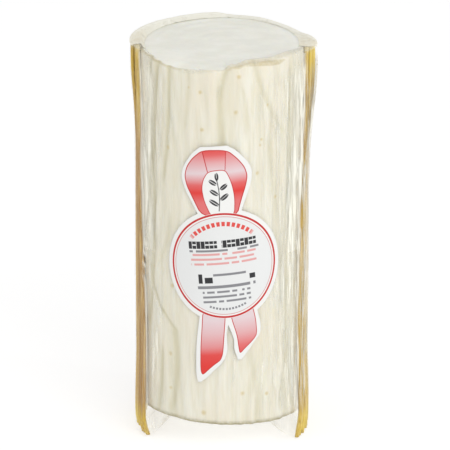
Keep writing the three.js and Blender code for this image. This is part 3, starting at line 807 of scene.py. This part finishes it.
# Painted glints along the front rim.
front_rim = (1 - ease(below_rim, 0.4, 2.2)) * ease(film_radius, 38.2, 39.4) * (1 - ease(film_share, 0, 0.3))
glints = hump(film_around, -21, 8) + 0.8 * hump(film_around, 70, 3.5) + 0.6 * hump(film_around, 24, 2)
over_wall = ease(below_rim, 0.35, 0.8) * ease(film_radius, 41.0, 42.5)
on_heads = np.where(film_share >= 1, 1.05, 0.3 * ease(film_share, 0.02, 0.3)) * (1 - over_wall)
on_heads = on_heads * ease(film_radius, HEADS_FROM + 0.02, HEADS_FROM + 0.08)
on_heads = on_heads * (film_height > TOP_HEIGHT / 2)
warm = on_heads * hump(np.abs(film_around), 90, 20)
right_mat = (film_share >= 1) * hump(film_around, 84, 22) * ease(film_height, 15, 60)
flap = hump(film_around, 93, 13) * hump(film_height / TOP_HEIGHT, 0.82, 0.1)
mat_edge = np.where(film_around > 0, right_edge(film_height), left_edge(film_height))
first_straw = (MAT_INNER + STRAW_RADIUS) * np.sin(np.radians(mat_edge))
from_straw = np.abs(film_radius * np.sin(np.radians(film_angle))) - first_straw
# Painted light: milky white laid over the dark crevice between the outermost straw and the cheese.
crevice_light = hump(from_straw, -STRAW_RADIUS - 0.05, 0.6) * bridging
crevice_light = crevice_light * ease(film_height, 4, 14) * ease(below_rim, 0.3, 1.5)
webs = ease(film_share, 0.05, 0.5) * ease(0.95 - film_share, 0, 0.5) * (film_height < 16)
on_left_mat = film_share * (film_around < 0)
# Streaks: the film's own haze in its creases with painted reflections, strongest at the right and left sides
# and over the straws on the right, and faint under the label.
crease_haze_and_reflections = 0.06 + 0.85 * right_side + 0.5 * left_side - 0.35 * on_left_mat + 0.4 * (film_share - on_left_mat)
crease_haze_and_reflections = on_wall * np.maximum(crease_haze_and_reflections, 0.08) * (1 - 0.95 * under_label)
# Milkiness: the film's own haze with painted reflection where it stands loose, plus the painted light over
# the crevice, the rim glints and the crease highlights.
loose = mix(0.12, 0.25, film_around > 0) * free + 0.38 * right_mat + 0.4 * flap
haze_and_glints = 0.04 + on_wall * loose + 0.65 * crevice_light
haze_and_glints = haze_and_glints + on_heads + 0.5 * front_rim * glints + 0.3 * webs + gleam * on_wall

clear = Finish("clear_film", IOR=2.0)
fine = clear.noise(1.0, (1, 1, 18), 1.0, warp=0.6)
broad = clear.noise(2.8, (1, 1, 11), 2.0, 4.0, 0.8)
shade = clear.noise(1.9, (1, 1, 14), 2.0, 9.0, 0.8)
lively = clear.layer("crease_haze_and_reflections")
facing = clear.node("ShaderNodeLayerWeight", {}, {"Blend": 0.25}, output="Facing")
# The alpha carries the painted reflection streaks, and the haze with its painted glints and highlights.
alpha = (fine.ease(0.5, 0.68) * 0.4 + broad.ease(0.5, 0.7) * 0.4) * lively
haze_glint_share = clear.layer("haze_and_glints")
alpha = alpha + haze_glint_share * (broad.ease(0.3, 0.6) * 0.3 + 0.75) + facing.ease(0.6, 1.0) * 0.12
# The colour mixes grey and white streaks as painted reflections, and turns white where the film is hazy or
# glints.
film_colour = clear.blend(shade.ease(0.42, 0.6) * 0.75 + haze_glint_share, ink(202, 203, 192), ink(252, 250, 236))
warmth = clear.layer("warm") * (shade.ease(0.4, 0.6) * 0.2 + 0.15)
film_colour = clear.blend(warmth, film_colour, ink(226, 208, 166))
clear.set(Base_Color=film_colour, Alpha=alpha.math("MINIMUM", 0.92), Roughness=haze_glint_share * 0.4 + 0.12)
clear.set(Normal=clear.bump((fine * 0.6 + broad) * lively, 0.3, 0.9))

film_points = place(film_angle, film_radius, film_height)
film_poles = np.array([[0, 0, roof(0.0, 0.0)], [0, 0, under(0.0, 0.0) - 0.6]]) + AXIS
film = make_piece(
    "film",
    np.vstack([film_points.reshape(-1, 3), film_poles]),
    closed_faces(*film_points.shape[:2]),
    clear.material,
    {"crease_haze_and_reflections": with_poles(crease_haze_and_reflections), "haze_and_glints": with_poles(haze_and_glints), "warm": with_poles(warm)},
)
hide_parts("film_wrap")
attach(film, "root")

# The label: white paper die-cut to a rosette and stuck on the front of the film. A red ribbon is printed as
# a loop above the disc and as two ends below it, a small sprig stands inside the loop, and the disc has a
# red ring round a pale field with plain bars.
LABEL_LEAN = np.radians(5)
LABEL_RADIUS = CHEESE_RADIUS + 0.95
BENT_RADIUS = CHEESE_RADIUS + 1.33
LABEL_THICKNESS = 0.12
LABEL_RELIEF = 0.05
DISC_RADIUS = 29.5
PRINT_RADIUS = 27.4
RED_RING = 26.75
FIELD_RADIUS = 25.4
PINK_RING = 25.35
LABEL_TOP = 61.6
NECK = 27.4
TAILS_TOP = -25.6
SPLIT_PLACE, SPLIT_TOP = -0.8, -31
LEFT_TIP, RIGHT_TIP = -60, -49.8
ARCH_TOP = 48.6

# The outline, as height and half width of the loop, and as height and place of each side of the two ends.
LOOP_HALF = [
    (27.4, 10.9), (34, 13.9), (41, 16.9), (46.3, 17.9), (50.5, 16.9), (55.5, 13.6), (59.6, 9.6), (61.6, 6.6),
]
LEFT_OUTER = [(-60, -18.4), (-57.5, -18.9), (-50.5, -18.7), (-38, -17.2), (-25.6, -14.7)]
LEFT_INNER = [
    (-60, -17), (-57.5, -13.6), (-54.6, -10.4), (-50.5, -5.6), (-46.9, -3.3), (-34.4, -1.7), (-31, -0.8),
]
RIGHT_INNER = [(-49.8, 2.6), (-44, 1.2), (-38.7, 1.3), (-34.4, 0.3), (-31, -0.8)]
RIGHT_OUTER = [(-49.8, 4.2), (-46.5, 7.4), (-42.4, 11.2), (-38, 15.1), (-35.1, 15.8), (-25.6, 14.7)]

# The printed ribbon's corners: the loop, the arch inside it and the two ends.
PRINTED_LOOP = [
    (-5.8, 59.9), (-11.4, 55.6), (-14.7, 51.2), (-16.1, 46.6), (-15.3, 41.6), (-13.1, 36.4), (-8.8, 26.0),
    (8.4, 25.0), (11.2, 33.1), (14.1, 39.9), (15.4, 44.9), (14.3, 49.6), (11.1, 54.4), (6.4, 59.2),
]
PRINTED_ARCH = [
    (-3.8, 49.0), (-6.6, 45.0), (-7.8, 40.4), (-7.2, 34.0), (-4.0, 25.0),
    (7.2, 25.0), (8.2, 34.0), (7.6, 40.4), (6.4, 45.2), (4.6, 49.4),
]
PRINTED_LEFT_END = [
    (-12.6, -22.0), (-14.0, -32.0), (-15.5, -42.0), (-16.6, -53.6), (-15.9, -56.4), (-12.6, -53.5),
    (-9.4, -51.0), (-6.2, -49.0), (-4.8, -45.8), (-3.3, -35.8), (-1.9, -26.8), (-2.0, -22.0),
]
PRINTED_RIGHT_END = [
    (1.0, -22.0), (1.2, -28.0), (3.2, -36.7), (3.5, -43.5), (3.8, -46.6),
    (6.0, -44.6), (11.6, -40.3), (13.4, -37.9), (13.4, -30.2), (12.1, -22.0),
]
FOLD_LINES = [((-6.0, 60.0), (-4.1, ARCH_TOP)), ((5.9, 60.0), (4.6, 49.0))]

# How red the printed ribbon is at a height, from its pale sheen at 0 to full red at 1.
SIDE_RED = [(28, 0.78), (33, 0.8), (38, 1.0), (42, 0.85), (48, 0.06), (53, 0.4), (58, 0.72), (61, 0.8)]
MIDDLE_RED = [(49.4, 0.12), (53, 0.42), (57, 0.85), (61, 1.0)]
LEFT_END_RED = [(-52, 1.0), (-46, 0.95), (-42, 0.62), (-35, 0.28), (-28, 0.06)]
RIGHT_END_RED = [(-47, 0.95), (-42, 0.8), (-36, 0.42), (-28, 0.06)]


def smooth_through(table, x):
    """A smooth line through a table's points: a cubic on each span, whose slope at a point follows that
    point's neighbours."""
    xs, ys = np.array(table).T
    slopes = np.gradient(ys, xs)
    i = np.clip(np.searchsorted(xs, x) - 1, 0, len(xs) - 2)
    width = xs[i + 1] - xs[i]
    t = np.clip((x - xs[i]) / width, 0, 1)
    ends = ys[i] * (1 + 2 * t) * (1 - t) ** 2 + ys[i + 1] * t * t * (3 - 2 * t)
    return ends + width * (slopes[i] * t * (1 - t) ** 2 + slopes[i + 1] * t * t * (t - 1))


def half_width(v):
    """Half the label's width at a height: a circle's chord in the disc, and the loop above it."""
    disc = np.sqrt(np.maximum(DISC_RADIUS**2 - v**2, 0))
    return np.where(v < NECK, disc, smooth_through(LOOP_HALF, np.maximum(v, NECK)))


def strip(rows, edges, columns):
    """Places on the label, row by row, evenly spread between each two neighbouring edges."""
    spans = [
        mix(left[:, None], right[:, None], np.linspace(0, 1, columns + 1)[None, 1 if n else 0 :])
        for n, (left, right) in enumerate(zip(edges, edges[1:]))
    ]
    across = np.concatenate(spans, 1)
    return np.stack([across, np.broadcast_to(rows[:, None], across.shape)], -1)


# The body is the loop, the disc and the stretch above the split; the two ends share its last row.
HALF = 46
loop_rows = np.linspace(LABEL_TOP, NECK + 0.4, 72)
disc_rows = DISC_RADIUS * np.cos(np.radians(np.linspace(22, 150, 92)))
body_rows = np.concatenate([loop_rows, disc_rows, np.linspace(TAILS_TOP - 0.4, SPLIT_TOP, 10)])
above_tails = body_rows > TAILS_TOP
tail_rows = np.minimum(body_rows, TAILS_TOP)
body_left = np.where(above_tails, -half_width(body_rows), smooth_through(LEFT_OUTER, tail_rows))
body_right = np.where(above_tails, half_width(body_rows), smooth_through(RIGHT_OUTER, tail_rows))
left_rows, right_rows = np.linspace(SPLIT_TOP, LEFT_TIP, 56), np.linspace(SPLIT_TOP, RIGHT_TIP, 40)
parts = [
    strip(body_rows, [body_left, SPLIT_PLACE * ease(-body_rows, 20, -SPLIT_TOP), body_right], HALF),
    strip(left_rows, [smooth_through(side, left_rows) for side in (LEFT_OUTER, LEFT_INNER)], HALF),
    strip(right_rows, [smooth_through(side, right_rows) for side in (RIGHT_INNER, RIGHT_OUTER)], HALF),
]
label_faces, first = [], 0
for part in parts:
    lines, columns = part.shape[:2]
    down, along = np.meshgrid(np.arange(lines - 1), np.arange(columns - 1), indexing="ij")
    at = first + down * columns + along
    label_faces.append(np.stack([at, at + columns, at + columns + 1, at + 1], -1).reshape(-1, 4))
    first += lines * columns
u, v = np.concatenate([part.reshape(-1, 2) for part in parts]).T


def from_line(start, end):
    """How far each place on the label is from the straight piece between two points."""
    (u0, v0), (u1, v1) = start, end
    t = np.clip(((u - u0) * (u1 - u0) + (v - v0) * (v1 - v0)) / ((u1 - u0) ** 2 + (v1 - v0) ** 2), 0, 1)
    return np.hypot(u - mix(u0, u1, t), v - mix(v0, v1, t))


def inside(outline):
    """How far inside a closed outline each place is, less than 0 outside it: the distance to the nearest
    side, with its sign from how often a line to the right crosses the outline."""
    nearest, crossings = np.full(len(u), 99.0), np.zeros(len(u), int)
    for (u0, v0), (u1, v1) in zip(outline, outline[1:] + outline[:1]):
        nearest = np.minimum(nearest, from_line((u0, v0), (u1, v1)))
        if v0 != v1:
            crossings += ((v0 > v) != (v1 > v)) & (u < u0 + (v - v0) * (u1 - u0) / (v1 - v0))
    return np.where(crossings % 2 == 1, nearest, -nearest)


def rounded(outline):
    """The outline with each corner cut off at a fifth of both its sides, twice."""
    for _ in range(2):
        here = np.array(outline)
        ahead = np.roll(here, -1, 0)
        pairs = np.stack([mix(here, ahead, 0.2), mix(here, ahead, 0.8)], 1)
        outline = [tuple(corner) for corner in pairs.reshape(-1, 2)]
    return outline


def leaf(middle_u, middle_v, length, width, turn):
    """How far inside an ellipse a place is: the width times 1 less the scaled distance from its middle."""
    a = np.radians(turn)
    p = (u - middle_u) * np.cos(a) + (v - middle_v) * np.sin(a)
    q = (v - middle_v) * np.cos(a) - (u - middle_u) * np.sin(a)
    edge = width * (1 - np.hypot(p / length, q / width))
    return np.minimum(edge, np.abs(q) - 0.14)


printed_loop = inside(rounded(PRINTED_LOOP))
printed_arch = inside(rounded(PRINTED_ARCH))
printed_ends = np.maximum(inside(rounded(PRINTED_LEFT_END)), inside(rounded(PRINTED_RIGHT_END)))
fold_lines = np.minimum(from_line(*FOLD_LINES[0]), from_line(*FOLD_LINES[1]))
left_fold, right_fold = (straight_through([foot[::-1], top[::-1]], v) for top, foot in FOLD_LINES)
between_folds = (u > left_fold) & (u < right_fold) & (v > ARCH_TOP)
loop_red = np.where(between_folds, straight_through(MIDDLE_RED, v), straight_through(SIDE_RED, v))
left_end = u < SPLIT_PLACE
end_red = np.where(left_end, straight_through(LEFT_END_RED, v), straight_through(RIGHT_END_RED, v))
red = np.where(v > 20, loop_red, end_red)


def stem(height):
    """The place of the sprig's stem, a gentle sine of the height."""
    return 0.7 * np.sin((height - 29) / 5)


sprig = np.where((v > 28) & (v < 45), 0.26 - np.abs(u - stem(v)), -1.0)
for number, base in enumerate([31.0, 33.6, 36.2, 38.8, 41.4]):
    way = 1 if number % 2 else -1
    sprig = np.maximum(sprig, leaf(stem(base) + way * 2.5, base + 1.7, 2.9 - 0.15 * number, 1.15, way * 36))
sprig = np.maximum(sprig, leaf(0.1, 46.0, 2.2, 1.0, 90))

paper = Finish("label_paper", Roughness=0.38)
across, up = paper.layer("across"), paper.layer("up_label")
from_middle = (across * across + up * up).math("SQRT")
white, pale_field = ink(231, 231, 228), ink(223, 224, 223)
strong_red, pale_red, arc_red = ink(190, 20, 20), ink(220, 206, 209), ink(216, 70, 62)
charcoal, grey_ink = ink(30, 30, 34), ink(100, 100, 106)


def band(x, middle, half, soft=0.1):
    """1 within half a width of the middle, with a soft edge."""
    return (x - middle).math("ABSOLUTE").ease(half + soft, half - soft)


def dashes(x, line, size, share):
    """Cells along a line, of which a random share is inked and the rest blank, as between words in print."""
    cell = (x * (1 / size) + line * 37.7).math("FLOOR")
    random = paper.node("ShaderNodeTexWhiteNoise", {"noise_dimensions": "1D"}, {"W": cell})
    return random.math("LESS_THAN", share)


print_colour = paper.blend(paper.layer("red"), pale_red, ink(216, 44, 36))
loop_depth, arch_depth, end_depth = paper.layer("loop"), paper.layer("arch"), paper.layer("end")
in_loop = loop_depth.ease(-0.1, 0.1)
face_colour = paper.blend(in_loop, white, print_colour)
face_colour = paper.blend(band(loop_depth, 0.0, 0.24), face_colour, strong_red)
face_colour = paper.blend(paper.layer("folds").ease(0.32, 0.12) * in_loop, face_colour, strong_red)
face_colour = paper.blend(arch_depth.ease(-0.1, 0.1), face_colour, white)
face_colour = paper.blend(band(arch_depth, 0.0, 0.2), face_colour, strong_red)
face_colour = paper.blend(paper.layer("sprig").ease(-0.05, 0.12), face_colour, charcoal)
face_colour = paper.blend(end_depth.ease(-0.1, 0.1), face_colour, print_colour)
face_colour = paper.blend(band(end_depth, 0.0, 0.2), face_colour, strong_red)

# The disc covers the ribbon: a white edge, the red ring, a pink line and the pale field.
face_colour = paper.blend(from_middle.ease(PRINT_RADIUS + 0.1, PRINT_RADIUS - 0.1), face_colour, white)
face_colour = paper.blend(from_middle.ease(FIELD_RADIUS + 0.1, FIELD_RADIUS - 0.1), face_colour, pale_field)
face_colour = paper.blend(band(from_middle, RED_RING, 0.5), face_colour, strong_red)
face_colour = paper.blend(band(from_middle, PINK_RING, 0.16) * 0.7, face_colour, strong_red)

# Bold blocks, thin lines and dashes in black, grey and red, as print looks from afar. The blocks are listed
# with their middle and half their size across, then the same up. The dashes have their random row, their
# size and their inked share as well.
BLOCK_WIDTH = 2.2
LINE_PITCH = 2.45
TITLE = [(-9.9, 7.2, 11.2, 1.9), (8.3, 8.7, 11.2, 1.9)]
BLOCKS = [(-12.5, 1.0, -6.3, 2.4), (-8.4, 2.0, -7.2, 1.5), (13.6, 1.5, -7.0, 1.3)]
DASHED = [
    ((0.6, 17.6, 8.0, 0.55), (5.0, 1.6, 0.86)),
    ((2.2, 8.2, -4.6, 0.6), (9.0, 1.4, 0.84)),
    ((0.4, 14.6, -10.8, 0.75), (12.0, 1.6, 0.88)),
]


def block(middle_across, half_across, middle_up, half_up):
    """1 inside a rectangle on the label."""
    return band(across, middle_across, half_across) * band(up, middle_up, half_up)


uneven = across + (across * 2.9).math("SINE") * 0.4
cells = band((uneven * (1 / BLOCK_WIDTH)).math("FRACT"), 0.5, 0.38, 0.06)
notches = band(up, 11.3, 0.35) * dashes(uneven, 3.0, BLOCK_WIDTH, 0.6)
bold = sum(block(*sizes) for sizes in TITLE) * cells * (1 - notches) + sum(block(*sizes) for sizes in BLOCKS)
plain = sum(block(*sizes) * dashes(across, *row) for sizes, row in DASHED)
lines_up = up * (1 / LINE_PITCH)
in_line = band(lines_up.math("FRACT"), 0.5, 0.22, 0.06)
small = in_line * dashes(across, lines_up.math("FLOOR"), 1.25, 0.8)
reds = small * band(up, 3.68, 3.6, 0.02) * band(across, 0.0, 16.5)
greys = small * band(up, -15.9, 3.6, 0.02) * band(across, 0.0, 12.0)
clockwise = across.math("ARCTAN2", up)
arc = band(from_middle, 21.6, 1.15) * band(clockwise, 0.0, 0.78)
arc = arc * band((clockwise * 8.5).math("FRACT"), 0.5, 0.33, 0.04)
low_arc = band(from_middle, 22.6, 0.55) * clockwise.math("ABSOLUTE").ease(2.7, 2.75)
low_arc = low_arc * band((clockwise * 14).math("FRACT"), 0.5, 0.32, 0.04)
face_colour = paper.blend(bold, face_colour, charcoal)
face_colour = paper.blend((plain + greys + low_arc) * 0.85, face_colour, grey_ink)
face_colour = paper.blend(reds * 0.6 + arc, face_colour, arc_red)
paper.set(Base_Color=face_colour)

round_the_front = u * np.cos(LABEL_LEAN) - v * np.sin(LABEL_LEAN)
label_heights = LABEL_HEIGHT + u * np.sin(LABEL_LEAN) + v * np.cos(LABEL_LEAN)
label_angles = LABEL_ANGLE + np.degrees(round_the_front / BENT_RADIUS)
label_relief = LABEL_RELIEF * ripples(label_angles, label_heights, 41, 6, (4, 14), 5)
label = make_piece(
    "label_rosette",
    place(label_angles, LABEL_RADIUS + label_relief, label_heights),
    label_faces,
    paper.material,
    {
        "across": u,
        "up_label": v,
        "loop": printed_loop,
        "arch": printed_arch,
        "folds": fold_lines,
        "red": red,
        "end": printed_ends,
        "sprig": sprig,
    },
)
join = bmesh.new()
join.from_mesh(label.data)
bmesh.ops.remove_doubles(join, verts=join.verts, dist=0.01 * MM)
join.to_mesh(label.data)
join.free()
wall = label.modifiers.new("thickness", "SOLIDIFY")
wall.thickness = LABEL_THICKNESS * MM
wall.offset = 1
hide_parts("label")
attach(label, "root")

# The floor is a plain pale sheet, lit a little from below as a light table is. Two tall soft boxes stand at
# the sides and one hangs over the front, and the pale room fills the shadows.
FLOOR_HALF = 3
floor_corners = [(x * FLOOR_HALF, y * FLOOR_HALF, 0) for x, y in [(-1, -1), (1, -1), (1, 1), (-1, 1)]]
floor_mesh = bpy.data.meshes.new("floor")
floor_mesh.from_pydata(floor_corners, [], [(0, 1, 2, 3)])
pale = Finish("pale_paper", Base_Color=ink(180, 180, 180), Roughness=0.9)
pale.set(Emission_Color=(1.0, 1.0, 1.0, 1.0), Emission_Strength=0.64)
floor_mesh.materials.append(pale.material)
floor = bpy.data.objects.new("floor", floor_mesh)
bpy.context.scene.collection.objects.link(floor)


def soft_box(name, place_at, aim, size, power):
    """A rectangular lamp at a place, turned to face the aim, in metres and watts."""
    lamp = bpy.data.lights.new(name, "AREA")
    lamp.shape = "RECTANGLE"
    lamp.size, lamp.size_y = size
    lamp.energy = power
    holder = bpy.data.objects.new(name, lamp)
    place_at, aim = Vector(place_at), Vector(aim)
    holder.location = place_at
    holder.rotation_euler = (aim - place_at).to_track_quat("-Z", "Y").to_euler()
    bpy.context.scene.collection.objects.link(holder)


HALF_WAY_UP = (0, 0, 0.1)
soft_box("left_box", (-1.1, -0.4, 0.5), HALF_WAY_UP, (0.12, 1.2), 1.2)
soft_box("right_box", (1.1, -0.5, 0.5), HALF_WAY_UP, (0.12, 1.2), 1.6)
soft_box("front_box", (0.6, -1.4, 1.2), HALF_WAY_UP, (1.2, 0.8), 11)
world = bpy.data.worlds.new("pale_room")
world.use_nodes = True
world.node_tree.nodes["Background"].inputs["Color"].default_value = (1, 1, 1, 1)
world.node_tree.nodes["Background"].inputs["Strength"].default_value = 0.66
bpy.context.scene.world = world
bpy.context.scene.view_settings.view_transform = "Standard"

# The camera stands 2.6 m in front, a little above, and looks down at the middle of the log.
CAMERA_DISTANCE = 2.6
CAMERA_ELEVATION = np.radians(18.9)
CAMERA_LENS = 418.5
CAMERA_AIM = Vector((0.00055, -0.0017, 0.1059))
camera = bpy.data.cameras.new("camera")
camera.lens = CAMERA_LENS
camera.sensor_width = 36
camera.clip_end = 20
eye = bpy.data.objects.new("camera", camera)
back = Vector((0, -np.cos(CAMERA_ELEVATION), np.sin(CAMERA_ELEVATION)))
eye.location = CAMERA_AIM + back * CAMERA_DISTANCE
eye.rotation_euler = back.to_track_quat("Z", "Y").to_euler()
bpy.context.scene.collection.objects.link(eye)
bpy.context.scene.camera = eye
